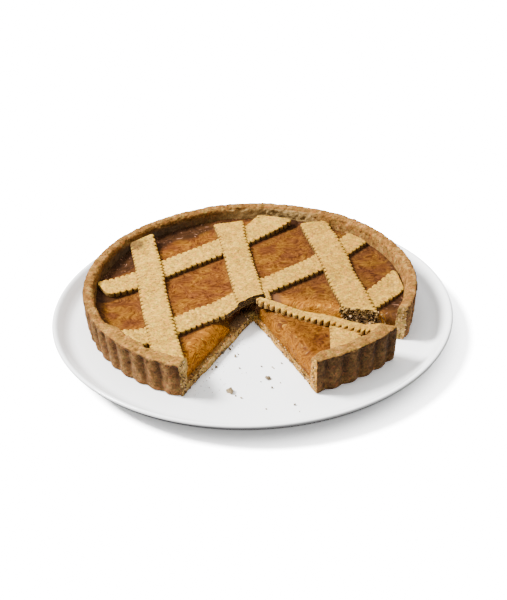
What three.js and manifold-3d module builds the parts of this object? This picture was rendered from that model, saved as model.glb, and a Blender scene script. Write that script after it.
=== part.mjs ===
// A lattice fruit tart on its serving plate: a fluted shortcrust case with a soft fruit filling and pinked
// pastry strips on top. A wide wedge has been cut out, and one loose slice lies in the gap.
// Millimetres, +Z up. The origin is the centre of the plate's foot, on the surface that the plate stands on.
import * as THREE from 'three';
import Module from 'manifold-3d';
import { mergeVertices } from 'three/addons/utils/BufferGeometryUtils.js';

const wasm = await Module();
wasm.setup();

// Driving dimensions of the plate.
const PLATE_RADIUS = 155;
const PLATE_HEIGHT = 18.5;
const PLATE_WELL_TOP = 8.5;
const PLATE_WELL_RADIUS = 139;
const PLATE_THICKNESS = 5;
const PLATE_FOOT_RADIUS = 92;
const PLATE_FOOT_WIDTH = 7;
const PLATE_SEGMENTS = 60;

// Driving dimensions of the pastry case.
const RIM_RADIUS = 130;
const CASE_HEIGHT = 28.6;
const WALL_DRAFT = 2.3;
const RIM_WIDTH = 8.5;
const RIM_ROLL = 3;
const RIM_UNEVENNESS = 0.5;
const BASE_THICKNESS = 6;
const INNER_DRAFT = 3;
const FLUTES = 56;
const FLUTE_DEPTH = 2.2;
const FLUTE_TURN = -1.6;
const COLUMNS_PER_FLUTE = 4;

// Driving dimensions of the filling and the strips.
const GAP = 0.3;
const FILLING_TOP = 17.3;
const FILLING_EDGE = 0.6;
const STRIP_THICKNESS = 2.8;
const TOOTH_PITCH = 5.1;
const TOOTH_DEPTH = 2;
const STRIP_ROUNDING = 0.5;
const STRIP_CORNER = 3.5;
const CROSSING_RAMP = 7;
const CROSSING_MARGIN = 4;

// Where the tart stands on the plate, and where its slices were cut, in the tart's own plan.
const TART_CENTRE = new THREE.Vector3(-1.5, 10.4, PLATE_WELL_TOP + GAP);
const CUT = { tip: [1.5, -19.5], left: -117.8, right: -16.3 };
const SLICE_CENTRE = [6.5, 3.8];
const SLICE_CUT = { tip: [2.9, -20.8], left: -66.9, right: -29.6 };
const CUT_LENGTH = 220;
const CUT_HEIGHT = 80;
const WELD_DISTANCE = 1e-4;

const COLOURS = {
  crust: 0xc08c52,
  filling: 0xb4651c,
  strip: 0xd9b987,
  china: 0xf1f1ef,
};

// Each strip's centreline: plan x and y, and how high it is lifted off the filling there, as it climbs the wall.
const STRIPS = [
  {
    name: 'strip_h1', width: 24.5,
    route: [[-117, 0, 0.6], [-93.6, 14, 0], [-72.2, 30, 0], [-50, 47, 0], [-28.2, 63, 0], [-7.2, 80, 0],
      [12, 96, 0.6], [25.8, 106.8, 2.6]],
  },
  {
    name: 'strip_h2', width: 22,
    route: [[-94, -80.7, 8.4], [-79.5, -71, 3.2], [-60, -56.6, 0.3], [-40, -42, 0], [-18.6, -28, 0], [8.4, -2, 0],
      [30, 14, 0], [53.4, 32, 0], [75.4, 55, 0], [92, 73, 1.6]],
  },
  {
    name: 'strip_h3', width: 23,
    route: [[74, -46, 0], [88.7, -30, 0], [98.3, -20, 0], [108, -9, 0], [122, 8, 1]],
  },
  {
    name: 'strip_v1', width: 22, over: ['strip_h1', 'strip_h2'],
    route: [[-89.5, 78.5, 6.4], [-86, 62, 2], [-80, 28, 0], [-76, 0, 0], [-70, -38, 0], [-64.5, -70, 1],
      [-61, -91, 5], [-58, -107, 8.4]],
  },
  {
    name: 'strip_v2', width: 23, over: ['strip_h1', 'strip_h2'],
    route: [[-18.5, 107, 1.6], [-13.5, 80, 0], [-9, 50, 0], [-2.3, 0, 0], [4, -46, 0]],
  },
  {
    name: 'strip_v3', width: 24.5, over: ['strip_h2', 'strip_h3'],
    route: [[56.5, 102, 2.2], [62, 75, 0], [67, 50, 0], [75, 0, 0], [84, -52, 0]],
  },
];
const SLICE_STRIPS = [
  {
    name: 'slice_strip_s2', width: 23,
    route: [[70.5, -40, 0], [69.5, -62, 0], [68.5, -82, 1], [68, -94, 5], [67.5, -106, 8.4]],
  },
  {
    name: 'slice_strip_s1', width: 25, over: ['slice_strip_s2'],
    route: [[-6, -7, 3.2], [14, -20, 3.2], [30, -29.5, 1.5], [45, -38.5, 0], [62, -49, 0], [80, -60, 0.6],
      [98, -71, 4]],
  },
];
const OFFCUT = { start: [13.6, -13.6], end: [14.8, -20.6], width: 3.6 };

const smooth = (t) => THREE.MathUtils.smoothstep(t, 0, 1);
const radians = THREE.MathUtils.degToRad;

// Depth of a flute at an angle: 0 on a ridge and 1 in the sharp groove between two rounded ridges. One ridge
// lies at FLUTE_TURN degrees.
function fluteAt(angle) {
  return 1 - Math.abs(Math.cos((FLUTES * (angle - radians(FLUTE_TURN))) / 2));
}

// Slow unevenness of a hand-pressed rim, about 1 at most.
function unevenness(angle) {
  return 0.6 * Math.sin(3 * angle + 1) + 0.4 * Math.sin(7 * angle + 2);
}

// Radius of the case's inner wall at a height above the case's base.
function innerRadius(height) {
  const share = Math.min(1, (height - BASE_THICKNESS) / (CASE_HEIGHT - BASE_THICKNESS));
  return RIM_RADIUS - RIM_WIDTH - INNER_DRAFT * (1 - share);
}

// A closed body turned about Z: rows of [radius, height, share of the flutes, share of the unevenness] run from
// the bottom centre to the top centre, and every row becomes a ring of vertices.
function turned(rows, columns) {
  const positions = [0, 0, rows[0][1]];
  for (const [radius, height, fluted, uneven] of rows) {
    for (let i = 0; i < columns; i += 1) {
      const angle = (2 * Math.PI * i) / columns + radians(FLUTE_TURN);
      const r = radius - FLUTE_DEPTH * fluted * fluteAt(angle) + RIM_UNEVENNESS * uneven * unevenness(angle);
      const z = height + RIM_UNEVENNESS * uneven * unevenness(angle + 1);
      positions.push(r * Math.cos(angle), r * Math.sin(angle), z);
    }
  }
  positions.push(0, 0, rows[rows.length - 1][1]);
  const last = positions.length / 3 - 1;
  const faces = [];
  for (let i = 0; i < columns; i += 1) {
    const j = (i + 1) % columns;
    faces.push(0, 1 + j, 1 + i);
    for (let row = 0; row < rows.length - 1; row += 1) {
      const a = 1 + row * columns;
      faces.push(a + i, a + j, a + columns + j, a + i, a + columns + j, a + columns + i);
    }
    const top = 1 + (rows.length - 1) * columns;
    faces.push(last, top + i, top + j);
  }
  return indexed(positions, faces);
}

function indexed(positions, faces) {
  const geometry = new THREE.BufferGeometry();
  geometry.setAttribute('position', new THREE.Float32BufferAttribute(positions, 3));
  geometry.setIndex(faces);
  return geometry;
}

// The pastry case: fluted outside, with a rounded rim, a sloping inner wall and a flat base inside.
function caseGeometry() {
  const inner = RIM_RADIUS - RIM_WIDTH;
  const rows = [
    [RIM_RADIUS - WALL_DRAFT, 0, 1, 0],
    [RIM_RADIUS, CASE_HEIGHT - RIM_ROLL, 1, 0],
    [RIM_RADIUS - 0.5 * RIM_ROLL, CASE_HEIGHT - 0.2 * RIM_ROLL, 0.2, 1],
    [RIM_RADIUS - RIM_WIDTH / 2, CASE_HEIGHT, 0, 1],
    [inner + 0.3 * RIM_ROLL, CASE_HEIGHT - 0.3 * RIM_ROLL, 0, 1],
    [inner - 0.1 * RIM_ROLL, CASE_HEIGHT - RIM_ROLL, 0, 0.5],
    [innerRadius(BASE_THICKNESS), BASE_THICKNESS, 0, 0],
  ];
  return turned(rows, FLUTES * COLUMNS_PER_FLUTE);
}

function fillingGeometry() {
  const bottom = BASE_THICKNESS + GAP;
  const rows = [
    [innerRadius(bottom) - 2 * GAP, bottom, 0, 0],
    [innerRadius(FILLING_TOP) - 2 * GAP, FILLING_TOP - FILLING_EDGE, 0, 0],
    [innerRadius(FILLING_TOP) - 6 * FILLING_EDGE, FILLING_TOP, 0, 0],
  ];
  return turned(rows, FLUTES * 2);
}

// The room inside the case, above the filling, that strips may fill.
function chamberGeometry() {
  const clearance = 3 * GAP;
  const rows = [
    [innerRadius(FILLING_TOP) - clearance, BASE_THICKNESS, 0, 0],
    [innerRadius(CASE_HEIGHT) - clearance, CASE_HEIGHT - RIM_ROLL, 0, 0],
    [innerRadius(CASE_HEIGHT) - clearance, 2 * CASE_HEIGHT, 0, 0],
  ];
  return turned(rows, FLUTES * 2);
}

// A prism over the plan triangle between two cuts that meet at a tip.
function wedgeGeometry({ tip, left, right }) {
  const corner = (angle) => [
    tip[0] + CUT_LENGTH * Math.cos(radians(angle)),
    tip[1] + CUT_LENGTH * Math.sin(radians(angle)),
  ];
  const outline = [tip, corner(left), corner(right)].map(([x, y]) => new THREE.Vector2(x, y));
  const geometry = new THREE.ExtrudeGeometry(new THREE.Shape(outline), { depth: CUT_HEIGHT, bevelEnabled: false });
  return geometry.translate(0, 0, -CUT_HEIGHT / 4);
}

// Plan distance from a point to a strip's centreline, with the centreline's lift at its nearest point.
function nearestOn(samples, x, y) {
  let best = { distance: Infinity };
  for (const sample of samples) {
    const distance = Math.hypot(sample.x - x, sample.y - y);
    if (distance < best.distance) best = { distance, lift: sample.z };
  }
  return best;
}

// How far a strip is raised at a point by the strips that it crosses.
function crossingLift(strip, strips, x, y) {
  let lift = 0;
  for (const name of strip.over ?? []) {
    const lower = strips.find((other) => other.name === name);
    const near = nearestOn(lower.samples, x, y);
    const share = smooth(1 - (near.distance - lower.width / 2 - CROSSING_MARGIN) / CROSSING_RAMP);
    lift = Math.max(lift, share * (near.lift + STRIP_THICKNESS + GAP));
  }
  return lift;
}

// A strip's cross-section, once round it: [side from -1 to 1, level from 0 below to 1 on top]. A strip that
// crosses others has points along its middle too, so that it bends over them.
function sectionOf(strip) {
  const across = strip.over ? [-1, 0, 1] : [-1, 1];
  const below = across.map((side) => [side, 0]);
  const above = across.map((side) => [side, 1]).reverse();
  return [...below, ...above];
}

// A pinked pastry strip laid on the filling, over the strips below it.
function stripGeometry(strip, strips) {
  const curve = new THREE.CatmullRomCurve3(strip.route.map((point) => new THREE.Vector3(...point)));
  const steps = Math.round(curve.getLength() / TOOTH_PITCH) * 2;
  const section = sectionOf(strip);
  const count = section.length;
  strip.samples = curve.getSpacedPoints(4 * steps);
  const positions = [];
  for (let i = 0; i <= steps; i += 1) {
    const centre = curve.getPointAt(i / steps);
    const along = curve.getTangentAt(i / steps);
    const across = new THREE.Vector3(-along.y, along.x, 0).normalize();
    const tooth = i % 2 === 0 ? TOOTH_DEPTH : 0;
    const corner = i === 0 || i === steps ? STRIP_CORNER : 0;
    const half = strip.width / 2 - tooth - corner;
    for (const [side, level] of section) {
      const reach = side * (half - STRIP_ROUNDING * level);
      const x = centre.x + across.x * reach;
      const y = centre.y + across.y * reach;
      const base = FILLING_TOP + GAP + Math.max(centre.z, crossingLift(strip, strips, x, y));
      positions.push(x, y, base + level * STRIP_THICKNESS);
    }
  }
  return indexed(positions, tubeFaces(count, steps));
}

// Faces of a closed tube: sections of so many points, each joined to the next, with a cap at either end. The
// points go once round the section, and the second half lies above the first.
function tubeFaces(count, steps) {
  const faces = [];
  for (let i = 0; i < steps; i += 1) {
    for (let k = 0; k < count; k += 1) {
      const a = count * i + k;
      const b = count * i + ((k + 1) % count);
      faces.push(a, b, b + count, a, b + count, a + count);
    }
  }
  const end = count * steps;
  for (let k = 0; k < count / 2 - 1; k += 1) {
    const above = count - 1 - k;
    faces.push(k, above - 1, k + 1, k, above, above - 1);
    faces.push(end + k, end + k + 1, end + above - 1, end + k, end + above - 1, end + above);
  }
  return faces;
}

// A narrow leftover of a strip that still lies at the tip of the cut.
function offcutGeometry() {
  const start = new THREE.Vector2(...OFFCUT.start);
  const end = new THREE.Vector2(...OFFCUT.end);
  const box = new THREE.BoxGeometry(OFFCUT.width, start.distanceTo(end), STRIP_THICKNESS, 1, 3, 1);
  box.rotateZ(end.clone().sub(start).angle() + Math.PI / 2);
  const middle = start.clone().add(end).multiplyScalar(0.5);
  return box.translate(middle.x, middle.y, FILLING_TOP + GAP + STRIP_THICKNESS / 2);
}

// The round plate: a foot ring, a flat well and a low rim that turns up.
function plateGeometry() {
  const under = PLATE_WELL_TOP - PLATE_THICKNESS;
  const foot = PLATE_FOOT_WIDTH / 2;
  const profile = [
    [0, under],
    [PLATE_FOOT_RADIUS - foot - 2, under],
    [PLATE_FOOT_RADIUS - foot, 0],
    [PLATE_FOOT_RADIUS + foot, 0],
    [PLATE_FOOT_RADIUS + foot + 3, under],
    [PLATE_WELL_RADIUS, under + 1.5],
    [PLATE_RADIUS - 3, PLATE_HEIGHT - 5],
    [PLATE_RADIUS, PLATE_HEIGHT - 1.5],
    [PLATE_RADIUS - 1.5, PLATE_HEIGHT],
    [PLATE_RADIUS - 4, PLATE_HEIGHT - 1],
    [PLATE_WELL_RADIUS + 5, PLATE_WELL_TOP + 1.8],
    [PLATE_WELL_RADIUS, PLATE_WELL_TOP],
    [0, PLATE_WELL_TOP],
  ].map(([radius, height]) => new THREE.Vector2(radius, height));
  return new THREE.LatheGeometry(profile, PLATE_SEGMENTS).rotateX(Math.PI / 2);
}

function solid(geometry) {
  const bare = geometry.clone();
  bare.deleteAttribute('normal');
  bare.deleteAttribute('uv');
  const merged = mergeVertices(bare, WELD_DISTANCE);
  const mesh = new wasm.Mesh({
    numProp: 3,
    vertProperties: new Float32Array(merged.attributes.position.array),
    triVerts: new Uint32Array(merged.index.array),
  });
  return new wasm.Manifold(mesh);
}

function geometryOf(body) {
  const mesh = body.getMesh();
  return indexed(Array.from(mesh.vertProperties), Array.from(mesh.triVerts));
}

function part(name, geometry, colour, roughness) {
  const material = new THREE.MeshStandardMaterial({ color: colour, roughness, metalness: 0 });
  const mesh = new THREE.Mesh(geometry, material);
  mesh.name = name;
  return mesh;
}

// One lot of strips, each cut by the case's inner wall and by the knife.
function stripParts(strips, keep) {
  return strips.map((strip) => {
    const laid = solid(stripGeometry(strip, strips));
    return part(strip.name, geometryOf(keep(laid)), COLOURS.strip, 0.9);
  });
}

// The tart without its wedge.
function tart() {
  const wedge = solid(wedgeGeometry(CUT));
  const chamber = solid(chamberGeometry());
  const group = new THREE.Group();
  group.add(part('tart_crust', geometryOf(solid(caseGeometry()).subtract(wedge)), COLOURS.crust, 0.85));
  group.add(part('tart_filling', geometryOf(solid(fillingGeometry()).subtract(wedge)), COLOURS.filling, 0.4));
  group.add(...stripParts(STRIPS, (body) => body.intersect(chamber).subtract(wedge)));
  group.add(part('strip_offcut', offcutGeometry(), COLOURS.strip, 0.9));
  return group;
}

// The loose slice, cut from a like tart that is centred a little aside.
function slice() {
  const [x, y] = SLICE_CENTRE;
  const wedge = solid(wedgeGeometry(SLICE_CUT));
  const place = (geometry) => solid(geometry.translate(x, y, 0)).intersect(wedge);
  const chamber = solid(chamberGeometry().translate(x, y, 0));
  const group = new THREE.Group();
  group.add(part('slice_crust', geometryOf(place(caseGeometry())), COLOURS.crust, 0.85));
  group.add(part('slice_filling', geometryOf(place(fillingGeometry())), COLOURS.filling, 0.4));
  group.add(...stripParts(SLICE_STRIPS, (body) => body.intersect(chamber).intersect(wedge)));
  return group;
}

const food = new THREE.Group();
food.add(tart(), slice());
food.position.copy(TART_CENTRE);

const model = new THREE.Group();
model.add(part('plate', plateGeometry(), COLOURS.china, 0.15));
model.add(food);

export default model;
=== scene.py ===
"""The dressed lattice fruit tart on its plate.

Detailed pastry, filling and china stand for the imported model's plain solids, at the same sizes and in the
same places, and crumbs are added. Shapes are worked out in millimetres in the tart's own frame and stored in
metres.
"""
import math
from collections import namedtuple
from contextlib import contextmanager

import bmesh
import bpy
import numpy as np
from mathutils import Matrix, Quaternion, Vector
from mathutils.geometry import delaunay_2d_cdt


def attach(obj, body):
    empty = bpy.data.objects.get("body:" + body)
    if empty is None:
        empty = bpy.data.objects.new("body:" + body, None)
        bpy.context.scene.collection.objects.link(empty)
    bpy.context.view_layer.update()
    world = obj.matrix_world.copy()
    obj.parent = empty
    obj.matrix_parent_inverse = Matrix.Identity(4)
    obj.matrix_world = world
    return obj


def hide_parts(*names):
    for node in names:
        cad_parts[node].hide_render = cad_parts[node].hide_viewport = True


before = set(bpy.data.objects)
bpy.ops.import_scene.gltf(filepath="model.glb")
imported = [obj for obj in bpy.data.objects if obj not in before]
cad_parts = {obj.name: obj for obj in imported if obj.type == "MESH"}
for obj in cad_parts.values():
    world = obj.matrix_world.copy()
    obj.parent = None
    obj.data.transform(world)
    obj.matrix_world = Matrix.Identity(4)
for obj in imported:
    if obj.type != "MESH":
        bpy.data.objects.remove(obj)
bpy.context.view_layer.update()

# Driving dimensions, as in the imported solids.
PLATE_RADIUS = 155
PLATE_HEIGHT = 18.5
PLATE_WELL_TOP = 8.5
PLATE_WELL_RADIUS = 139
PLATE_THICKNESS = 5
PLATE_FOOT_RADIUS = 92
PLATE_FOOT_WIDTH = 7
RIM_RADIUS = 130
CASE_HEIGHT = 28.6
WALL_DRAFT = 2.3
RIM_WIDTH = 8.5
RIM_ROLL = 3
RIM_UNEVENNESS = 0.5
RIM_SQUARENESS = 0.6
BASE_THICKNESS = 6
INNER_DRAFT = 3
FLUTES = 56
FLUTE_DEPTH = 2.2
FLUTE_TURN = -1.6
FLUTE_FADE = (24.8, 28.2)
GAP = 0.3
FILLING_TOP = 17.3
STRIP_THICKNESS = 2.8
TOOTH_PITCH = 5.1
TOOTH_DEPTH = 1.9
CROSSING_RAMP = 20
CROSSING_MARGIN = 1
CROSSING_RISE = 2.3
CORNER_RADIUS = 3.5
CORNER_SECTION = ((1.05, 0.985), (0.5, 0.92), (0.15, 0.78), (0, 0.55), (0, 0.2), (0.1, -0.35))
END_REACH = 30
END_SLIDE = 16
TART_CENTRE = np.array((-1.5, 10.4, PLATE_WELL_TOP + GAP))

# A sector is what is left of a round tart between two straight cuts that meet at its tip, in degrees.
Sector = namedtuple("Sector", "centre tip first last")
TART = Sector(np.array((0, 0)), np.array((1.5, -19.5)), -16.3, 360 - 117.8)
SLICE = Sector(np.array((6.5, 3.8)), np.array((2.9, -20.8)), -66.9, -29.6)

# At the first and at the last cut: how far the filling has drawn back, over what distance it slopes down, how
# golden it is there, and how far the base has crumbled away.
TART_RECESS = (1.5, 4.2)
TART_SLOPE = (7, 11)
TART_GOLD = (0.8, 1)
TART_CRUMBLED = (0, 0.3)
SLICE_RECESS = (2.0, 0.5)
SLICE_SLOPE = (10, 3)
SLICE_GOLD = (0.4, 0.4)
SLICE_CRUMBLED = (0.8, 0)

# How finely the pastry and the filling are modelled.
COLUMN_STEP = 0.4
NEAR_CUT = np.array((0, 0.08, 0.2, 0.4, 0.7, 1.05, 1.5, 2.0))
CUT_SPACING = 0.6
FILLING_STEP = 1.05
FILLING_COLUMN_STEP = 0.5
FILLING_SPACING = 0.8
STRIP_STEP = 0.45
BASE_ROWS = 16
WALL_ROWS = 34
RIM_ROWS = 29
INNER_ROWS = 13
PLATE_COLUMNS = 192

# Numbers that mix the bits of a lattice point.
LATTICE_PRIMES = (73856093, 19349663, 83492791)
SEED_PRIME = 7919
MIXING_PRIME = 1274126177
WORD = 0xFFFFFFFF

# The most points that are measured at once, and how near to a cut, in metres, a point counts as on it.
BATCH = 20000
ON_CUT = 2e-6

# How far the rim's dough stands inwards around the ends of strips that were pressed into it.
JOINT_REACH = 4.5

# How far from the tip of the cut the filling is sunken, and how far it is drawn back there.
SUNKEN_REACH = 27
SUNKEN_DEPTH = 6

# The arc along which two strips broke off behind the tip of the cut, in the tart's plan.
BROKEN_EDGE = ((-17.5, -40.2), (-7.6, -27.8), (1.6, -19.2), (12, -15.7))

# How far the slice's nose is blunt, and how far its strips stand out over its last cut.
SLICE_NOSE = 5
SLICE_OVERHANG = 1.2

# How much rougher than the others these strips are broken.
ROUGHNESS = {"strip_h3": 2.5, "strip_v3": 2.5}

# The table's brightness, and the camera's place in metres, its tilt and roll in radians and its lens.
FLOOR_GAIN = 4.2
CAMERA_PLACE = (0.0013, -0.7631, 0.4862)
CAMERA_TILT = 0.54605
CAMERA_ROLL = -0.034358
CAMERA_LENS = 68.77

# The angles round the tart, in degrees, about which its wall's inside gets painted shade and between which
# painted light.
INNER_SHADE_CENTRE = 138
INNER_SHADE_SPREAD = 30
PAINTED_LIGHT_FROM = (55, 70)
PAINTED_LIGHT_TO = (108, 90)

# Filling baked darkest, with painted shade, beside the wall: an arc, and spots with how strong, where and how
# wide.
BAKED_AND_SHADED_FROM = (96, 114)
BAKED_AND_SHADED_TO = (176, 156)
BAKED_AND_SHADED_SPOTS = ((0.75, -16, 11), (0.35, 67, 7), (0.3, 180, 9))

# A point of the filling gets a strip's painted shadow, or the painted shade in a mauve tint beside it, where
# the place this far off it is beneath the strip.
SHADE_SHIFT = np.array((-1.2, 2.6, 0))
MAUVE_SHADE_SHIFT = np.array((-2, 6, 0))

# Each strip's centreline: plan x and y, and how high it is lifted off the filling as it climbs the wall.
# over are the strips that it crosses, and joined is the place on its route that was pressed on to the rim.
# start_circle and end_circle are circles about the tart's or the slice's centre that its ends follow.
# corners are the radii of its corners, left and right, at the start and then at the end.
# flare is a wider end: 0 or 1 for start or end, 0 or 1 for left or right, how much wider, and from how far.
# dark_patch is a darker brown patch: plan x, y and size. teeth is how deep the teeth are, and torn means
# without any.
STRIPS = {
    "strip_h1": dict(width=24.5, end_circle=112.5, corners=(5, 7, 4, 5), flare=(1, 0, 3.5, 58), route=[
        (-115.5, 1, 2.2), (-93.6, 14, 0.2), (-72.2, 30, 0), (-50, 47, 0), (-28.2, 63, 0), (-7.2, 80, 0),
        (12, 96, 0.8), (22, 104.2, 2.2), (31, 111.3, 4.4)]),
    "strip_h2": dict(width=22, joined=0, start_circle=120.4, end_circle=118, flare=(0, 1, 5.3, 34), route=[
        (-94, -80.6, 6), (-91, -78.6, 7.2), (-87.5, -76.3, 6.2), (-79.5, -71, 3.2), (-60, -56.6, 0.3),
        (-40, -42, 0), (-18.6, -28, 0), (8.4, -2, 0), (30, 14, 0), (53.4, 32, 0), (75.4, 55, 0),
        (92, 73, 1.6)]),
    "strip_h3": dict(width=23, end_circle=118.5, route=[
        (74, -46, 0), (88.7, -30, 0), (98.3, -20, 0), (108, -9, 0), (119.5, 5, 1)]),
    "strip_v1": dict(
        width=22, over=("strip_h1", "strip_h2"), joined=-1, start_circle=116.8, end_circle=121,
        dark_patch=(-92.8, 67, 5), route=[
            (-89.5, 78.5, 6.4), (-86, 62, 2), (-80, 28, 0), (-76, 0, 0), (-70, -38, 0), (-64.5, -70, 1),
            (-61, -91, 5), (-59.6, -98, 6.9), (-58.8, -103, 7.3), (-58.4, -105.8, 6)]),
    "strip_v2": dict(width=23, over=("strip_h1", "strip_h2"), flare=(0, 0, 3.5, 36), route=[
        (-18.5, 107, 1.6), (-13.5, 80, 0), (-9, 50, 0), (-2.3, 0, 0), (4, -46, 0)]),
    "strip_v3": dict(width=24.5, over=("strip_h2", "strip_h3"), route=[
        (56.5, 102, 2.2), (62, 75, 0), (67, 50, 0), (75, 0, 0), (84, -52, 0)]),
    "slice_strip_s2": dict(width=23, joined=-1, end_circle=122, route=[
        (70.5, -40, 0), (69.5, -62, 0), (68.5, -82, 1), (68, -91, 4), (67.8, -97, 6.6), (67.7, -101, 7.1),
        (67.6, -103, 6)]),
    "slice_strip_s1": dict(
        width=25, teeth=2.6, over=("slice_strip_s2",), joined=-1, end_circle=121.6, route=[
        (-6, -7, 3.2), (14, -20, 3.2), (30, -29.5, 1.5), (45, -38.5, 0), (62, -49, 0), (80, -60, 1),
        (92, -67.3, 4.6), (99, -71.7, 7.2), (102, -73.7, 6)]),
    "strip_offcut": dict(width=4.4, torn=True, route=[
        (12, -8, 2.2), (13.3, -13, 1.6), (14.4, -18.4, 0.6), (14.8, -20.6, 0.2)]),
}

# Loose crumbs on the plate: plan x and y from the tart's centre, and size. The first two are the largest.
LOOSE_CRUMBS = (
    (-16, -112, 2.1), (11, -98, 1.7), (14, -109, 0.9), (29, -130, 1.0), (-8, -120, 0.6), (-12, -117, 0.55),
    (-9, -83, 0.6), (-12, -68, 0.9), (-10, -65, 0.6), (7, -82, 0.5), (15, -83, 0.5), (16, -85, 0.45),
    (22, -79, 0.6), (6, -101, 0.5), (20, -103, 0.45), (-31, -106, 0.5), (9, -134, 0.5), (-26, -81, 1.0),
    (-16, -58, 0.9), (-22, -62, 1.5), (-14, -54, 0.6), (-29, -83, 0.6), (-31, -94, 0.5), (32, -138, 0.4),
)
LARGEST_TONES = (0.6, 0.42)
SPECKS = 70


# ---------------------------------------------------------------- relief

def lattice_value(cells, seed):
    """Repeatable values from 0 to 1 at whole-number lattice points."""
    x, y, z = (cells[..., axis] * prime for axis, prime in enumerate(LATTICE_PRIMES))
    mixed = (x ^ y ^ z ^ (seed * SEED_PRIME)) & WORD
    mixed = ((mixed ^ (mixed >> 13)) * MIXING_PRIME) & WORD
    return (mixed ^ (mixed >> 16)) / WORD


def noise(points, size, seed):
    """Smooth lumps of about this size, from -1 to 1."""
    scaled = points / size + 0.37 * seed
    cell = np.floor(scaled).astype(np.int64)
    share = scaled - cell
    share = share * share * (3 - 2 * share)
    total = np.zeros(scaled.shape[:-1])
    for corner in np.ndindex(2, 2, 2):
        weight = np.prod(np.where(corner, share, 1 - share), axis=-1)
        total += weight * lattice_value(cell + np.array(corner), seed)
    return 2 * total - 1


# Turns each octave of the lumps, so that their lattices don't line up.
TURN = np.array(((0.36, 0.48, -0.8), (-0.8, 0.6, 0), (0.48, 0.64, 0.6)))


def lumps(points, size, seed, octaves=3):
    """Noise with finer and weaker noise on it."""
    total = np.zeros(points.shape[:-1])
    for octave in range(octaves):
        total += noise(points, size, seed + octave) * 0.5 ** octave
        points = points @ TURN
        size = size / 2
    return total


def smooth(low, high, value):
    """0 below low, 1 above high and a soft step between."""
    share = np.clip((value - low) / (high - low), 0, 1)
    return share * share * (3 - 2 * share)


# ---------------------------------------------------------------- directions and cuts, in plan

def heading(degrees):
    """The plan direction at an angle."""
    return np.array((math.cos(math.radians(degrees)), math.sin(math.radians(degrees))))


def left_of(direction):
    """The plan direction a quarter turn to the left."""
    return np.array((-direction[1], direction[0]))


def bearing(points, centre):
    """The angles of points about a centre, in radians."""
    return np.arctan2(points[..., 1] - centre[1], points[..., 0] - centre[0])


def plan_distance(points, place):
    """How far points are from a place in plan."""
    return np.hypot(points[..., 0] - place[0], points[..., 1] - place[1])


def nearest_on(line, points):
    """How far points are in plan from the nearest point of a line, and which point that is."""
    flat = points[..., :2].reshape(-1, 2)
    gaps, nearest = [], []
    for first in range(0, len(flat), BATCH):
        gap = plan_distance(flat[first:first + BATCH, None], line.T)
        gaps.append(gap.min(axis=1))
        nearest.append(gap.argmin(axis=1))
    shape = points.shape[:-1]
    return np.concatenate(gaps).reshape(shape), np.concatenate(nearest).reshape(shape)


def cut_directions(sector):
    """For the first and for the last cut, its direction from the tip and the direction inwards from it."""
    first, last = heading(sector.first), heading(sector.last)
    return (first, left_of(first)), (last, -left_of(last))


def inset(sector, first, last):
    """The sector with its two cuts moved inwards by these distances."""
    inward = np.array([inward for _, inward in cut_directions(sector)])
    return sector._replace(tip=sector.tip + np.linalg.solve(inward, (first, last)))


def cut_gaps(sector, points):
    """Distances in plan from the first and from the last cut."""
    offset = points[..., :2] - sector.tip
    past_tip = plan_distance(points, sector.tip)
    return [np.where(offset @ direction > 0, np.abs(offset @ inward), past_tip)
            for direction, inward in cut_directions(sector)]


# ---------------------------------------------------------------- meshes

@contextmanager
def reworked(mesh):
    """The mesh as a bmesh to change, which is written back with its faces turned outwards."""
    work = bmesh.new()
    work.from_mesh(mesh)
    yield work
    bmesh.ops.recalc_face_normals(work, faces=work.faces)
    work.to_mesh(mesh)
    work.free()


def weld(mesh, distance):
    """Joins the points that lie on each other."""
    with reworked(mesh) as work:
        bmesh.ops.remove_doubles(work, verts=work.verts, dist=distance)
        bmesh.ops.dissolve_degenerate(work, edges=work.edges, dist=distance / 10)


def make_mesh(name, points, faces, masks=None):
    """A mesh of points in millimetres in the tart's frame; each mask holds a number for every point."""
    mesh = bpy.data.meshes.new(name)
    mesh.from_pydata(((points + TART_CENTRE) / 1000).tolist(), [], [list(face) for face in faces])
    for mask, values in (masks or {}).items():
        attribute = mesh.attributes.new(mask, "FLOAT", "POINT")
        attribute.data.foreach_set("value", np.asarray(values, dtype=np.float32))
    return mesh


def add_piece(name, mesh, material, node, sharp=50):
    """A smooth-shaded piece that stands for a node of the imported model."""
    mesh.shade_smooth()
    mesh.set_sharp_from_angle(angle=math.radians(sharp))
    mesh.materials.append(material)
    piece = bpy.data.objects.new(name, mesh)
    bpy.context.collection.objects.link(piece)
    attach(piece, "root")
    if node:
        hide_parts(node)


def grid_faces(rows, columns, closed=False):
    """Squares between the neighbours in a grid of points, row after row."""
    across = columns if closed else columns - 1
    row, column = np.meshgrid(np.arange(rows - 1), np.arange(across), indexing="ij")
    a = row * columns + column
    b = row * columns + (column + 1) % columns
    return np.stack((a, b, b + columns, a + columns), axis=-1).reshape(-1, 4).tolist()


def grid_normals(grid):
    """Unit normals of a grid of points."""
    normal = np.cross(np.gradient(grid, axis=1), np.gradient(grid, axis=0))
    return normal / np.maximum(np.linalg.norm(normal, axis=-1, keepdims=True), 1e-9)


def outline_gaps(outline, points):
    """How far flat points are from the nearest point of an outline."""
    return np.array([np.min(np.hypot(*(outline - point).T)) for point in points])


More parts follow.
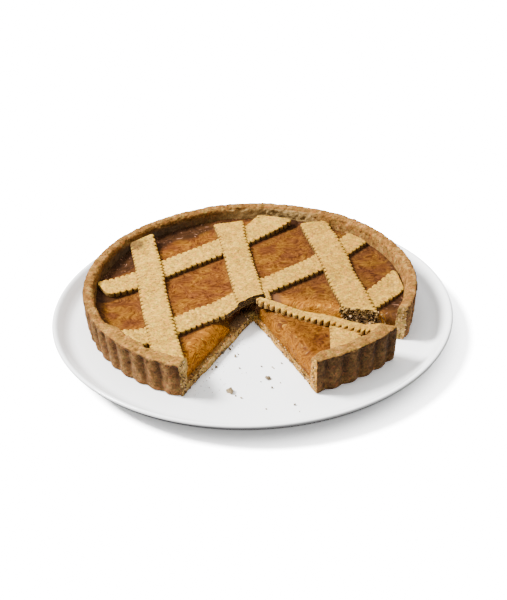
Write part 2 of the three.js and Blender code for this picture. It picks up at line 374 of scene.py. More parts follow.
def fill_outline(flat, links, spacing, seed):
    """Triangles over a flat outline, with points of this spacing inside it.

    Returns the inner points, their distances from the outline, and triangles that count its points first.
    """
    low, high = flat.min(axis=0), flat.max(axis=0)
    cells = np.ceil((high - low) / spacing).astype(int)
    inner = np.stack(np.meshgrid(*map(np.arange, cells), indexing="ij"), axis=-1).reshape(-1, 2)
    inner = low + (inner + 0.5 + np.random.default_rng(seed).uniform(-0.3, 0.3, inner.shape)) * spacing
    inner = inner[outline_gaps(flat, inner) > 0.5 * spacing]
    vertices = [Vector(point) for point in np.concatenate((flat, inner))]
    _, _, faces, sources, _, _ = delaunay_2d_cdt(vertices, links, [], 1, 1e-7)
    source = [origins[0] if origins else -1 for origins in sources]
    triangles = [tuple(source[i] for i in face) for face in faces]
    triangles = [face for face in triangles if min(face) >= 0 and len(set(face)) == 3]
    count = len(flat)
    used = sorted({i for face in triangles for i in face if i >= count})
    place = {old: count + new for new, old in enumerate(used)}
    triangles = [tuple(place.get(i, i) for i in face) for face in triangles]
    kept = np.array([vertices[i][:] for i in used]).reshape(-1, 2)
    return kept, outline_gaps(flat, kept), triangles


# ---------------------------------------------------------------- pastry case and filling

def column_angles(sector, step):
    """Directions from the tip, in radians, crowded towards the two cuts."""
    middle = np.arange(sector.first + NEAR_CUT[-1] + step, sector.last - NEAR_CUT[-1] - step / 2, step)
    return np.radians(np.concatenate((sector.first + NEAR_CUT, middle, sector.last - NEAR_CUT[::-1])))


def reach(sector, directions, radius):
    """How far a circle about the centre is from the tip along each direction."""
    offset = sector.tip - sector.centre
    along = directions @ offset
    return -along + np.sqrt(along ** 2 - offset @ offset + radius ** 2)


def flute_at(angle):
    """0 on a ridge and 1 in the groove between two rounded ridges."""
    return 1 - np.sqrt(np.cos(FLUTES * (angle - math.radians(FLUTE_TURN)) / 2) ** 2 + 0.004)


def unevenness(angle):
    """Slow unevenness of a hand-pressed rim, about 1 at most."""
    return 0.6 * np.sin(3 * angle + 1) + 0.4 * np.sin(7 * angle + 2)


def inner_radius(height):
    """The radius of the case's inside at a height."""
    share = np.minimum(1, (height - BASE_THICKNESS) / (CASE_HEIGHT - BASE_THICKNESS))
    return RIM_RADIUS - RIM_WIDTH - INNER_DRAFT * (1 - share)


def swept(sector, rows, angles):
    """Rows of (radius, height, share of the flutes, of the unevenness, ...), turned from cut to cut."""
    directions = np.column_stack((np.cos(angles), np.sin(angles)))
    grid = np.empty((len(rows), len(angles), 3))
    for index, (row_radius, height, fluted, uneven, *_) in enumerate(rows):
        radius = np.full(len(angles), float(row_radius))
        for _pass in range(4):
            plan = sector.tip + reach(sector, directions, radius)[:, None] * directions
            around = bearing(plan, sector.centre)
            radius = row_radius - FLUTE_DEPTH * fluted * flute_at(around)
            radius = radius + RIM_UNEVENNESS * uneven * unevenness(around)
        grid[index, :, :2] = plan
        grid[index, :, 2] = height + RIM_UNEVENNESS * uneven * unevenness(around + 1)
    return grid


def across(sector, edge, count):
    """Rows of points from the tip out to an edge row, without either."""
    tip = np.append(sector.tip, edge[0, 2])
    shares = np.arange(1, count) / count
    return tip + (edge - tip) * shares[:, None, None]


def cut_face(outline, tip, direction, inward, relief, spacing, seed):
    """A cut's inner points, and its triangles, which count the outline's points first."""
    flat = np.column_stack(((outline[:, :2] - tip) @ direction, outline[:, 2]))
    links = [(i, (i + 1) % len(outline)) for i in range(len(outline))]
    inner, depth, triangles = fill_outline(flat, links, spacing, seed)
    inner = np.column_stack((tip + inner[:, :1] * direction, inner[:, 1]))
    return inner - np.append(inward, 0) * relief(inner, depth)[:, None], triangles


def swept_mesh(name, sector, grid, masks, low, high, relief, spacing, seed, warp=None):
    """Closes a swept grid with its tip and its two cut faces.

    low and high are the tip's levels. relief gives how far a cut face's points stand out, from their places
    and their distances from the outline, and warp moves every point.
    """
    rows, columns = grid.shape[:2]
    levels = np.linspace(high, low, max(2, round((high - low) / spacing)))
    tip = np.column_stack((np.tile(sector.tip, (len(levels), 1)), levels))
    points = [grid.reshape(-1, 3), tip]
    faces = grid_faces(rows, columns)
    first_tip = rows * columns
    count = first_tip + len(levels)
    tip_loop = list(range(first_tip, count))
    for column in range(columns - 1):
        faces.append((count - 1, column + 1, column))
        end = (rows - 1) * columns + column
        faces.append((first_tip, end, end + 1))
    on_grid = np.zeros((rows, columns))
    on_grid[:, (0, -1)] = 0.6
    cut = [on_grid.ravel(), np.ones(len(levels))]
    closed = np.concatenate(points)
    for column, directions in zip((0, columns - 1), cut_directions(sector)):
        loop = [row * columns + column for row in range(rows)] + tip_loop
        inner, triangles = cut_face(closed[loop], sector.tip, *directions, relief, spacing, seed)
        points.append(inner)
        cut.append(np.ones(len(inner)))
        lookup = loop + list(range(count, count + len(inner)))
        faces += [tuple(lookup[i] for i in face) for face in triangles]
        count += len(inner)
        seed += 1
    for mask, values in masks.items():
        masks[mask] = np.append(values, np.full(count - first_tip, values.mean()))
    masks["cut"] = np.concatenate(cut)
    points = np.concatenate(points)
    mesh = make_mesh(name, warp(points) if warp else points, faces, masks)
    weld(mesh, 1e-6)
    return mesh


def case_rows():
    """The pastry case's section, from its foot up the outside, over the rim and down inside.

    Each row is its radius, its height, its share of the flutes, of the unevenness and of the rim's look.
    """
    top = CASE_HEIGHT - RIM_ROLL
    foot = RIM_RADIUS - WALL_DRAFT
    rows = [(foot - 1.2, 0, 1, 0, 0), (foot - 0.3, 0.35, 1, 0, 0)]
    for height in np.linspace(1.1, top, WALL_ROWS):
        radius = RIM_RADIUS - WALL_DRAFT * (1 - height / top)
        rows.append((radius, height, 1 - smooth(*FLUTE_FADE, height), smooth(15, top, height), 0))
    half = (RIM_WIDTH + 0.1 * RIM_ROLL) / 2
    for turn in np.radians(np.linspace(0, 180, RIM_ROWS)[1:]):
        side, up, fluted = math.cos(turn), math.sin(turn), 0
        if side > 0:
            side, up = side ** RIM_SQUARENESS, up ** RIM_SQUARENESS
            fluted = 1 - smooth(*FLUTE_FADE, top + RIM_ROLL * up)
        radius = RIM_RADIUS - half + half * side
        rows.append((radius, top + RIM_ROLL * up, fluted, 1, smooth(0.95, 0.6, side)))
    for height in np.linspace(top, FILLING_TOP - 1.5, INNER_ROWS)[1:]:
        uneven = smooth(FILLING_TOP, top, height)
        rows.append((inner_radius(height), height, 0, uneven, smooth(top - 2, top, height)))
    rows.append((inner_radius(BASE_THICKNESS), BASE_THICKNESS, 0, 0, 0))
    return rows


def midway(along):
    """1 along the middle of a cut, falling to 0 at its tip and at the wall."""
    return smooth(2, 20, along) * (1 - smooth(92, 116, along))


def crumb_relief(points, depth):
    """Broken pastry: pits and lumps that fade out at the edge of the cut."""
    rough = 0.4 * lumps(points, 2.6, 11) + 0.3 * noise(points, 0.9, 15)
    pits = 0.7 * smooth(0.2, 0.55, noise(points, 1.9, 17))
    return (rough - pits) * smooth(0, 1, depth)


def crumbled_cut(sector, amounts, seed):
    """Moves a base's points back from its two cuts, by about these amounts midway along them."""
    def warp(points):
        points = points.copy()
        low = 1 - smooth(BASE_THICKNESS + 1, BASE_THICKNESS + 5, points[:, 2])
        for (direction, inward), amount in zip(cut_directions(sector), amounts):
            offset = points[:, :2] - sector.tip
            along, gap = offset @ direction, offset @ inward
            place = np.column_stack((along, 0 * along, 0.4 * points[:, 2]))
            ragged = 0.7 * noise(place, 9, seed) + 0.35 * noise(place, 3, seed + 1)
            near = np.where((gap > -2) & (along > 0), 1 - smooth(0, 12, gap), 0)
            points[:, :2] += inward * ((amount + ragged) * midway(along) * near * low)[:, None]
        return points
    return warp


def joined_dough(points, prefix):
    """1 where the ends of the strips with this prefix were pressed on to the rim."""
    joined = np.zeros(points.shape[:-1])
    for name, strip in STRIPS.items():
        if name.startswith(prefix) and "joined" in strip:
            gap = plan_distance(points, strip["route"][strip["joined"]])
            joined = np.maximum(joined, 1 - smooth(0.7, 1.25, gap / strip["width"]))
    return joined


def case_mesh(name, sector, crumbled, prefix, sunken, seed):
    """A pastry case with crumbled cuts, whose rim is drawn to the strips that have this prefix.

    sunken is 1 where shade is painted on the case above a sunken filling at its tip, and otherwise 0.
    """
    rows = case_rows()
    grid = swept(sector, rows, column_angles(sector, COLUMN_STEP))
    normals = grid_normals(grid)
    height = grid[..., 2]
    radius = plan_distance(grid, sector.centre)
    around = bearing(grid, sector.centre)
    rim_look = np.array([row[4] for row in rows])[:, None]
    on_rim = smooth(0.3, 0.7, rim_look + 0.2 * noise(grid, 5, seed + 13))
    outside = smooth(RIM_RADIUS - RIM_WIDTH + 2, RIM_RADIUS - 2.5, radius)
    inside = 1 - outside
    relief = 0.3 * lumps(grid, 4.2, seed) + 0.24 * noise(grid, 1.4, seed + 5)
    relief += on_rim * (0.45 * lumps(grid, 11, seed + 9, 2) + 0.28 * lumps(grid, 3.4, seed + 11, 2))
    relief -= 0.5 * smooth(0.3, 0.65, noise(grid, 2.2, seed + 12))
    grid = grid + normals * (relief * smooth(0, 1.5, height))[..., None]
    joined = joined_dough(grid, prefix)
    inward = JOINT_REACH * joined * inside * smooth(14, 20, height)
    grid[..., :2] -= (grid[..., :2] - sector.centre) * (inward / radius)[..., None]
    angle = np.degrees(around)
    # Painted light: a paler tone on the inside of the back wall, below the rim.
    pale = smooth(*PAINTED_LIGHT_FROM, angle) * smooth(*PAINTED_LIGHT_TO, angle) * inside
    pale = pale * smooth(CASE_HEIGHT - 1.2, CASE_HEIGHT - 2.6, height)
    # Painted shade on the inside of the wall, strongest towards the back left, and low down.
    shaded = 0.1 + 0.9 * np.exp(-((angle - INNER_SHADE_CENTRE) / INNER_SHADE_SPREAD) ** 2)
    shade_low_on_wall = smooth(CASE_HEIGHT - 2.5, FILLING_TOP + 4, height + noise(grid, 6, seed + 14))
    masks = {
        # painted shade in the grooves of the flutes
        "groove": flute_at(around) * outside * (1 - on_rim),
        "outside": outside * (1 - on_rim),
        "painted_inner_shade": shaded * inside * shade_low_on_wall * (1 - 0.6 * pale),
        "pale": pale,
        "dough": on_rim * joined,
    }
    below, above = across(sector, grid[0], BASE_ROWS), across(sector, grid[-1], BASE_ROWS)[::-1]
    grid = np.concatenate((below, grid, above))
    for mask, values in masks.items():
        masks[mask] = np.concatenate((np.zeros(below.shape[:2]), values, np.zeros(above.shape[:2])))
    away = plan_distance(grid, sector.tip)
    # painted shade on the base around the sunken tip
    masks["painted_shade_at_tip"] = sunken * (1 - smooth(SUNKEN_REACH - 9, SUNKEN_REACH + 4, away))
    warp = crumbled_cut(sector, crumbled, seed + 20)
    return swept_mesh(name, sector, grid, masks, 0, BASE_THICKNESS, crumb_relief, CUT_SPACING, seed, warp)


def strip_clearance(points, prefix):
    """How far points are in plan from the nearest strip with this prefix; negative beneath it."""
    nearest = np.full(points.shape[:-1], math.inf)
    for name, strip in STRIPS.items():
        if name.startswith(prefix):
            line = spline_points(strip["route"], 90)[0]
            nearest = np.minimum(nearest, nearest_on(line, points)[0] - strip["width"] / 2)
    return nearest


def fullness(sector, grid, slopes, sunken_depth, seed):
    """The filling's share of its full height, which falls to 0 in rounded slopes at the cuts."""
    ragged = 0.8 * noise(grid, 8, seed + 5) + 0.4 * noise(grid, 2.6, seed + 6)
    wavy = 1 + 0.25 * noise(grid, 26, seed + 7)
    away = plan_distance(grid, sector.tip)
    sunken = sunken_depth * (1 - smooth(SUNKEN_REACH - 6, SUNKEN_REACH + 3, away))
    share = np.ones(grid.shape[:2])
    for gap, slope, drawn in zip(cut_gaps(sector, grid), slopes, (0 * sunken, sunken)):
        spread = slope * wavy * (1 - 0.6 * drawn / SUNKEN_DEPTH)
        share = np.minimum(share, np.clip((gap - drawn + ragged * smooth(0, 1, gap)) / spread, 0, 1))
    return np.sqrt(1 - (1 - share) ** 2)


def baked_and_shaded_share(around):
    """How strongly the filling is baked darker, with painted shade, beside the wall, at angles in degrees."""
    share = smooth(*BAKED_AND_SHADED_FROM, around) * smooth(*BAKED_AND_SHADED_TO, around)
    for strength, centre, spread in BAKED_AND_SHADED_SPOTS:
        share = share + strength * np.exp(-(((around - centre + 180) % 360 - 180) / spread) ** 2)
    return share


def filling_masks(sector, grid, wall, shines, under, prefix, sunken, seed):
    """Where the filling has each of its looks; sunken is whether its tip is."""
    shaded = baked_and_shaded_share(np.degrees(bearing(grid, sector.centre)))
    baked_and_shaded = wall - plan_distance(grid, sector.centre) + 3 * noise(grid, 12, seed + 8)
    riper = np.maximum(smooth(-40, 105, grid[..., 0]), 0.45 * smooth(-75, -100, grid[..., 0]))
    start, end = np.array(BROKEN_EDGE[0]), np.array(BROKEN_EDGE[2])
    beyond = (grid[..., :2] - start) @ left_of((end - start) / np.hypot(*(end - start)))
    # painted shade in the hollow at the tip
    painted_shade_at_tip = smooth(SUNKEN_REACH + 2, SUNKEN_REACH - 5, plan_distance(grid, sector.tip))
    painted_shade_at_tip = painted_shade_at_tip * sunken * smooth(14, 8, beyond)
    near_cuts = [shine * (1 - smooth(0, 20, gap)) for shine, gap in zip(shines, cut_gaps(sector, grid))]
    return {
        "near_cut": np.maximum(*near_cuts),
        "painted_shade_at_tip": painted_shade_at_tip,
        # painted shade in a mauve tint beside the strips
        "painted_mauve_shade": 1 - smooth(-1, 7, strip_clearance(grid + MAUVE_SHADE_SHIFT, prefix)),
        # painted shadow of the strips, weaker in the hollow at the tip
        "painted_strip_shadow": under * (1 - 0.8 * painted_shade_at_tip) if sunken else 0.3 * under,
        # baked darker and painted shade: the wall's shadow on the filling beside it
        "baked_and_shaded_near_wall": (0.7 + 0.3 * shaded) * (1 - smooth(15 * shaded, 4 + 20 * shaded, baked_and_shaded)),
        "deep": riper if sunken else np.full(riper.shape, 0.9),
    }


def filling_mesh(name, sector, recess, slopes, shines, sunken_depth, prefix, seed):
    """The filling, which slopes down to its cuts and rises a little against the strips and the wall."""
    bottom = BASE_THICKNESS - 0.8
    lowest = BASE_THICKNESS - 0.4
    sector = inset(sector, *recess)
    wall = inner_radius(FILLING_TOP) - GAP
    rows = [(inner_radius(BASE_THICKNESS) - GAP, bottom, 0, 0), (wall, FILLING_TOP - 1.5, 0, 0)]
    rows += [(wall - step, FILLING_TOP, 0, 0) for step in (0, 0.4, 1, 1.8, 2.8)]
    grid = swept(sector, rows, column_angles(sector, FILLING_COLUMN_STEP))
    steps = round((wall + np.hypot(*(sector.tip - sector.centre))) / FILLING_STEP)
    grid = np.concatenate((grid, across(sector, grid[-1], steps)[::-1]))
    full = fullness(sector, grid, slopes, sunken_depth, seed)
    clearance = strip_clearance(grid, prefix)
    # painted shadow: the filling lies in a strip's shade where the place this far off it is beneath the strip
    under = 1 - smooth(-1, 1.2, strip_clearance(grid + SHADE_SHIFT, prefix))
    front = under * smooth(-1, 0.3, clearance)
    rise = 0.7 * smooth(wall - 4, wall, plan_distance(grid, sector.centre))
    rise = rise + (0.7 - 0.9 * front) * np.exp(-np.maximum(clearance, 0) / 1.8)
    bent = grid + 5 * np.dstack([noise(grid, 22, seed + 30 + axis) for axis in range(3)])
    curls = 1 - np.abs(noise(bent * np.array((1, 0.5, 1)), 3.6, seed + 33)) * 2
    relief = 0.35 * lumps(grid, 16, seed, 2) + 0.16 * lumps(grid, 5, seed + 9, 2) + 0.16 * curls
    level = grid[..., 2] + (relief + rise)
    grid[2:, :, 2] = (lowest + (level - lowest) * full)[2:]
    grid[1, :, 2] = np.minimum(grid[1, :, 2], grid[2, :, 2])
    masks = filling_masks(sector, grid, wall, shines, under, prefix, sunken_depth > 0, seed)
    return swept_mesh(
        name, sector, grid, masks, bottom, lowest, lambda points, depth: 0 * depth, FILLING_SPACING, seed)


# ---------------------------------------------------------------- strips

def spline_points(route, count):
    """Points at even distances along a centripetal Catmull-Rom curve through the route."""
    knots = np.array(route, dtype=float)
    knots = np.vstack((2 * knots[0] - knots[1], knots, 2 * knots[-1] - knots[-2]))
    pieces = []
    for p0, p1, p2, p3 in zip(knots, knots[1:], knots[2:], knots[3:]):
        d0, d1, d2 = (np.sqrt(np.linalg.norm(b - a)) for a, b in ((p0, p1), (p1, p2), (p2, p3)))
        t1 = ((p1 - p0) / d0 - (p2 - p0) / (d0 + d1) + (p2 - p1) / d1) * d1
        t2 = ((p2 - p1) / d1 - (p3 - p1) / (d1 + d2) + (p3 - p2) / d2) * d1
        t = np.linspace(0, 1, 60, endpoint=False)[:, None]
        square, cube = 3 * (p2 - p1) - 2 * t1 - t2, 2 * (p1 - p2) + t1 + t2
        pieces.append(p1 + t1 * t + square * t ** 2 + cube * t ** 3)
    dense = np.vstack(pieces + [knots[-2:-1]])
    walked = np.concatenate(((0,), np.cumsum(np.linalg.norm(np.diff(dense, axis=0), axis=1))))
    even = np.linspace(0, walked[-1], count)
    return np.column_stack([np.interp(even, walked, dense[:, axis]) for axis in range(3)]), walked[-1]


def crossing_lift(strip, points):
    """How far a strip is raised at points by the strips that it crosses and was pressed on to."""
    lift = np.zeros(points.shape[:-1])
    for name in strip.get("over", ()):
        lower = STRIPS[name]
        line = spline_points(lower["route"], 160)[0]
        gap, nearest = nearest_on(line, points)
        share = smooth(0, 1, 1 - (gap - lower["width"] / 2 - CROSSING_MARGIN) / CROSSING_RAMP)
        lift = np.maximum(lift, share * (line[nearest, 2] + CROSSING_RISE))
    return lift


def strip_section(width, toothed):
    """Once round a strip's section: (fixed side, share of the toothed edge, inset, level) for each point.

    A point's side is fixed + share * half the toothed width + inset. Levels are 1 on top, 0 where the strip
    rests and less where it is sunk in.
    """
    core = width / 2 - (TOOTH_DEPTH + 1.4 if toothed else 1.2)
    top = [(side, 0, 0, 1) for side in np.linspace(-core, core, max(5, round(core / 0.4)))]
    right = [(0, 1, -inset, level) for inset, level in CORNER_SECTION]
    left = [(0, -1, inset, level) for inset, level in reversed(CORNER_SECTION)]
    lowest = CORNER_SECTION[-1][1]
    below = [(side, 0, 0, lowest) for side in (core, 0, -core)]
    return np.array(top + right + below + left)


def end_inset(distance, corner):
    """How far a strip's edge stands in at this distance from its end, for rounded corners."""
    return corner - np.sqrt(corner ** 2 - np.clip(corner - distance, 0, corner) ** 2)


def follow_circle(plan, along, centre, radius, share):
    """Slides points along a strip so that its last row lies on a circle."""
    last = plan[share.argmax()] - centre
    half = last @ along
    root = np.sqrt(np.maximum(half ** 2 - (last ** 2).sum(axis=1) + radius ** 2, 0))
    slide = np.where(np.abs(root - half) < np.abs(-root - half), root - half, -root - half)
    return plan + (share[:, None] * np.clip(slide, -END_SLIDE, END_SLIDE))[..., None] * along


def strip_edges(strip, walked, toothed):
    """For the left and the right edge: half the widths, how deep in a notch, and the shares of the width."""
    to_end = walked[-1] - walked
    pitch = walked[-1] / max(1, round(walked[-1] / TOOTH_PITCH))
    wander = np.column_stack((walked, 0 * walked, 0 * walked))
    corners = strip.get("corners", (CORNER_RADIUS,) * 4)
    at_end, flared_side, wider, spread = strip.get("flare", (0, 0, 0, 1))
    flare = wider * smooth(0, 1, 1 - (to_end if at_end else walked) / spread)
    halves, notches, narrowed = [], [], []
    for side in (0, 1):
        ends, depth = 0 * walked, 0.5
        if toothed:
            ends = end_inset(walked, corners[side]) + end_inset(to_end, corners[side + 2])
            depth = strip.get("teeth", TOOTH_DEPTH) * (1 + 0.4 * noise(wander, 7, 21 + side))
        wandered = walked + 0.8 * noise(wander, 9, 23 + side)
        notch = (0.5 + 0.5 * np.cos(2 * math.pi * wandered / pitch)) ** 3
        notch = notch * smooth(0.5, 6, np.minimum(walked, to_end))
        wide = strip["width"] / 2 + (flare if side == flared_side else 0)
        halves.append(wide - depth * notch + 0.25 * noise(wander, 13, 25 + side) - ends)
        notches.append(notch)
        narrowed.append(np.maximum(wide - ends, 0) / (strip["width"] / 2))
    return halves, notches, narrowed


def strip_grid(strip, centre):
    """The strip's points, row by row once round its section, and how deep each is in a notch."""
    toothed = not strip.get("torn")
    length = spline_points(strip["route"], 2)[1]
    count = round(length / STRIP_STEP)
    line, length = spline_points(strip["route"], count + 1)
    walked = np.linspace(0, length, count + 1)
    along = np.gradient(line, axis=0)
    sideways = np.column_stack((-along[:, 1], along[:, 0]))
    sideways /= np.linalg.norm(sideways, axis=1, keepdims=True)
    fixed, share, inwards, level = strip_section(strip["width"], toothed).T
    on_left = fixed + share > 0
    half, notch, narrow = (np.where(on_left, left[:, None], right[:, None])
                           for left, right in strip_edges(strip, walked, toothed))
    side = fixed * narrow + share * half + inwards
    plan = line[:, None, :2] + sideways[:, None, :] * side[..., None]
    for key, row, distance in (("start_circle", 0, walked), ("end_circle", -1, length - walked)):
        if key in strip:
            outward = along[row, :2] / np.linalg.norm(along[row, :2])
            plan = follow_circle(plan, outward, centre, strip[key], smooth(0, 1, 1 - distance / END_REACH))
    thickness = STRIP_THICKNESS * (1 - 0.5 * np.exp(-walked / 0.5) - 0.5 * np.exp((walked - length) / 0.5))
    base = FILLING_TOP + GAP + np.maximum(line[:, 2][:, None], crossing_lift(strip, plan))
    return np.dstack((plan, base + level * thickness[:, None])), np.abs(share) * notch


def cut_plane(place, angle):
    """A vertical cut through a place: its origin in metres, its direction and its normal to the right."""
    direction = np.append(heading(angle), 0)
    return (np.append(place, 0) + TART_CENTRE) / 1000, direction, np.array((direction[1], -direction[0], 0))


def sector_cuts(sector):
    """A sector's two cuts, with what lies outside it on their right."""
    return [cut_plane(sector.tip, sector.first), cut_plane(sector.tip, sector.last + 180)]


def broken_cuts():
    """The cuts along the arc where two strips broke off."""
    cuts = []
    for start, end in zip(BROKEN_EDGE, BROKEN_EDGE[1:]):
        angle = math.degrees(math.atan2(end[1] - start[1], end[0] - start[0]))
        cuts.append(cut_plane(np.array(start), angle))
    return cuts


def nose_cut(sector):
    """The cut across a slice's blunt nose."""
    middle = (sector.first + sector.last) / 2
    return cut_plane(sector.tip + SLICE_NOSE * heading(middle), middle - 90)


def knife(work, cuts, inside):
    """Cuts a bmesh and takes away what is to the right of any cut, or, for a wedge, of all of them."""
    for origin, _, outward in cuts:
        geometry = [*work.verts, *work.edges, *work.faces]
        bmesh.ops.bisect_plane(work, geom=geometry, dist=1e-7, plane_co=origin, plane_no=outward)
    outside = []
    for face in work.faces:
        centre = np.array(face.calc_center_median())
        past = [(centre - origin) @ outward > 0 for origin, _, outward in cuts]
        if any(past) if inside else all(past):
            outside.append(face)
    bmesh.ops.delete(work, geom=outside, context="FACES")


def cap_cuts(work, cuts, roughness, seed):
    """Closes the openings that the knife left with crumbly faces."""
    cut_layer = work.verts.layers.float["cut"]
    for origin, direction, outward in cuts:
        on_cut = {vert for vert in work.verts if abs((np.array(vert.co) - origin) @ outward) < ON_CUT}
        edges = [edge for edge in work.edges if edge.is_boundary and on_cut.issuperset(edge.verts)]
        if not edges:
            continue
        ring = list(dict.fromkeys(vert for edge in edges for vert in edge.verts))
        order = {vert: index for index, vert in enumerate(ring)}
        flat = np.array([((np.array(v.co) - origin) @ direction, v.co.z) for v in ring]) * 1000
        links = [tuple(order[vert] for vert in edge.verts) for edge in edges]
        ends = [index for index in range(len(ring)) if sum(index in link for link in links) == 1]
        links += [tuple(ends[i:i + 2]) for i in range(0, len(ends) - 1, 2)]
        inner, depth, triangles = fill_outline(flat, links, CUT_SPACING, seed)
        for (distance, height), margin in zip(inner, depth):
            place = origin * 1000 + direction * distance
            place[2] = height
            push = roughness * crumb_relief(place[None], np.array((margin * 1.5,)))[0]
            vert = work.verts.new((place + outward * push) / 1000)
            vert[cut_layer] = 1
            ring.append(vert)
        for triangle in triangles:
            corners = [ring[index] for index in triangle]
            if not work.faces.get(corners):
                work.faces.new(corners)
        seed += 1


def strip_mesh(name, strip, centre, knives, inside, roughness, seed):
    """A pinked pastry strip, cut by each set of cuts in turn."""
    grid, pit = strip_grid(strip, centre)
    rows, columns = grid.shape[:2]
    grain = 0.22 * lumps(grid, 5, seed) + 0.22 * noise(grid, 1.6, seed + 4)
    pits = 0.4 * smooth(0.4, 0.7, noise(grid, 1.8, seed + 8))
    grid[..., 2] += grain + 0.3 * noise(grid, 19, seed + 7) - pits
    points = grid.reshape(-1, 3)
    faces = grid_faces(rows, columns, closed=True)
    faces.append(tuple(range(columns)))
    faces.append(tuple(reversed(range((rows - 1) * columns, rows * columns))))
    level = np.tile(strip_section(strip["width"], not strip.get("torn"))[:, 3], rows)
    level[:columns] = level[-columns:] = 1 if "joined" in strip else 0
    # darker towards the right of the tart, in lumps
    darker_rightwards = smooth(-90, 130, points[:, 0]) + 0.25 * lumps(points, 45, 7, 2)
    # a darker brown patch, where a strip has one
    *place, size = strip.get("dark_patch", (0, 0, 0.01))
    dark_patch = 2.1 * np.exp(-(plan_distance(points, place) / size) ** 2)
    masks = {
        "cut": np.zeros(len(points)),
        "level": level,
        "darker_rightwards": darker_rightwards,
        "dark_patch": (dark_patch * (1 + 0.7 * noise(points, 3, seed + 9))).clip(0, 1),
        "notch": pit.ravel(),
    }
    mesh = make_mesh(name, points, faces, masks)
    with reworked(mesh) as work:
        for cuts in knives:
            knife(work, cuts, inside)
        cap_cuts(work, [cut for cuts in knives for cut in cuts], roughness, seed)
        bmesh.ops.remove_doubles(work, verts=work.verts, dist=1e-7)
    return mesh


# ---------------------------------------------------------------- crumbs

def crumb_shape(fineness):
    """Points and triangles of a unit ball."""
    work = bmesh.new()
    bmesh.ops.create_icosphere(work, subdivisions=fineness, radius=1)
    points = np.array([vert.co[:] for vert in work.verts])
    faces = np.array([[vert.index for vert in face.verts] for face in work.faces])
    work.free()
    return points, faces


def crumbs_mesh(name, places, sizes, tones, seed):
    """Many crumbs in one mesh: their places, their radii, and tones from 0 for burnt to 1 for pale."""
    random = np.random.default_rng(seed)
    points, faces, tone = [], [], []
    count = 0
    shapes = {fineness: crumb_shape(fineness) for fineness in (1, 2, 3)}
    for place, size, shade in zip(places, sizes, tones):
        ball, triangles = shapes[1 if size < 0.45 else 2 if size < 1.6 else 3]
        turn = np.linalg.qr(random.normal(size=(3, 3)))[0]
        shape = ball * random.uniform(0.55, 1.25, 3)
        shape = shape * (1 + 0.45 * noise(shape + random.uniform(0, 90, 3), 0.7, seed))[:, None]
        for facet in np.linalg.qr(random.normal(size=(3, 3)))[0]:
            shape = shape - np.maximum(0, shape @ facet - random.uniform(0.3, 0.7))[:, None] * facet
        points.append(np.asarray(place) + size * (shape @ turn))
        faces.append(triangles + count)
        tone.append(np.full(len(ball), shade))
        count += len(ball)
    masks = {"tone": np.concatenate(tone)}
    mesh = make_mesh(name, np.concatenate(points), np.concatenate(faces).tolist(), masks)
    weld(mesh, 1e-7)
    return mesh


def mixed_tones(random, count, dark):
    """Mostly pale crumbs, some brown ones and this share of burnt ones."""
    tones = random.uniform(0.55, 1, count)
    kind = random.uniform(0, 1, count)
    tones = np.where(kind < dark + 0.25, random.uniform(0.25, 0.55, count), tones)
    return np.where(kind < dark, random.uniform(0, 0.15, count), tones)


def beside_cut(sector, last, along, inward, height):
    """Places in the tart's frame from distances along the first or the last cut and inwards from it."""
    direction, across_cut = cut_directions(sector)[last]
    return np.column_stack((sector.tip + along[:, None] * direction + inward[:, None] * across_cut, height))


def base_crumbs(sector, last, crumbled, count, dark, seed):
    """Crumbs on the broken edge of the base; dark is the share of burnt ones."""
    random = np.random.default_rng(seed)
    along = random.uniform(3, reach(sector, cut_directions(sector)[last][0], RIM_RADIUS - 6), count)
    height = random.uniform(0.4, BASE_THICKNESS + 0.6, count)
    ledge = height > BASE_THICKNESS - 0.6
    inward = crumbled[last] * midway(along)
    inward = inward + np.where(ledge, random.uniform(0, 3, count), random.uniform(-0.1, 0.8, count))
    sizes = random.uniform(0.35, 0.95, count) * random.uniform(0.7, 1.1, count)
    return beside_cut(sector, last, along, inward, height), sizes, mixed_tones(random, count, dark)


def wall_crumbs(sector, last, count, dark, seed):
    """Crumbs on the cut end of the wall; dark is the share of burnt ones."""
    random = np.random.default_rng(seed)
    height = random.uniform(0.5, CASE_HEIGHT - 1.5, count)
    radius = random.uniform(RIM_RADIUS - RIM_WIDTH - 1, RIM_RADIUS - 2.6, count)
    along = reach(sector, cut_directions(sector)[last][0], radius)
    sizes = random.uniform(0.3, 0.8, count)
    inward = random.uniform(-0.1, 0.5, count)
    return beside_cut(sector, last, along, inward, height), sizes, mixed_tones(random, count, dark)


def spilled_crumbs(count, seed):
    """Crumbs that fell from the broken ends of two strips down the cut."""
    random = np.random.default_rng(seed)
    share = random.uniform(0, 1, count)
    height = 6.5 + 13.5 * share
    along = np.clip(random.normal(84, 7.5, count), 69, 101) + 4 * (1 - share)
    inward = 0.2 + 1.2 * share + random.uniform(-0.8, 0.8, count)
    sizes = 0.4 + random.exponential(0.36, count).clip(0, 1)
    dark = random.uniform(0, 1, count) < 0.38
    tones = np.where(dark, random.uniform(0.05, 0.35, count), random.uniform(0.45, 0.9, count))
    return beside_cut(TART, False, along, inward, height), sizes, tones


def plate_crumbs(seed):
    """The loose crumbs, and specks that lie mostly along the cut."""
    random = np.random.default_rng(seed)
    x, y, size = np.array(LOOSE_CRUMBS).T
    size = size * 1.3
    places = np.column_stack((x, y, size * 0.55 - GAP))
    count = SPECKS
    along = random.uniform(25, 112, count)
    out = random.exponential(7, count) + 0.5
    specks = beside_cut(TART, True, along, 0.4 - out, np.full(count, 0.2 - GAP))
    sizes = random.uniform(0.18, 0.42, count)
    tones = np.concatenate((random.uniform(0.3, 0.8, len(size)), random.uniform(0.1, 0.7, count)))
    tones[:len(LARGEST_TONES)] = LARGEST_TONES
    return np.concatenate((places, specks)), np.concatenate((size, sizes)), tones


# ---------------------------------------------------------------- plate

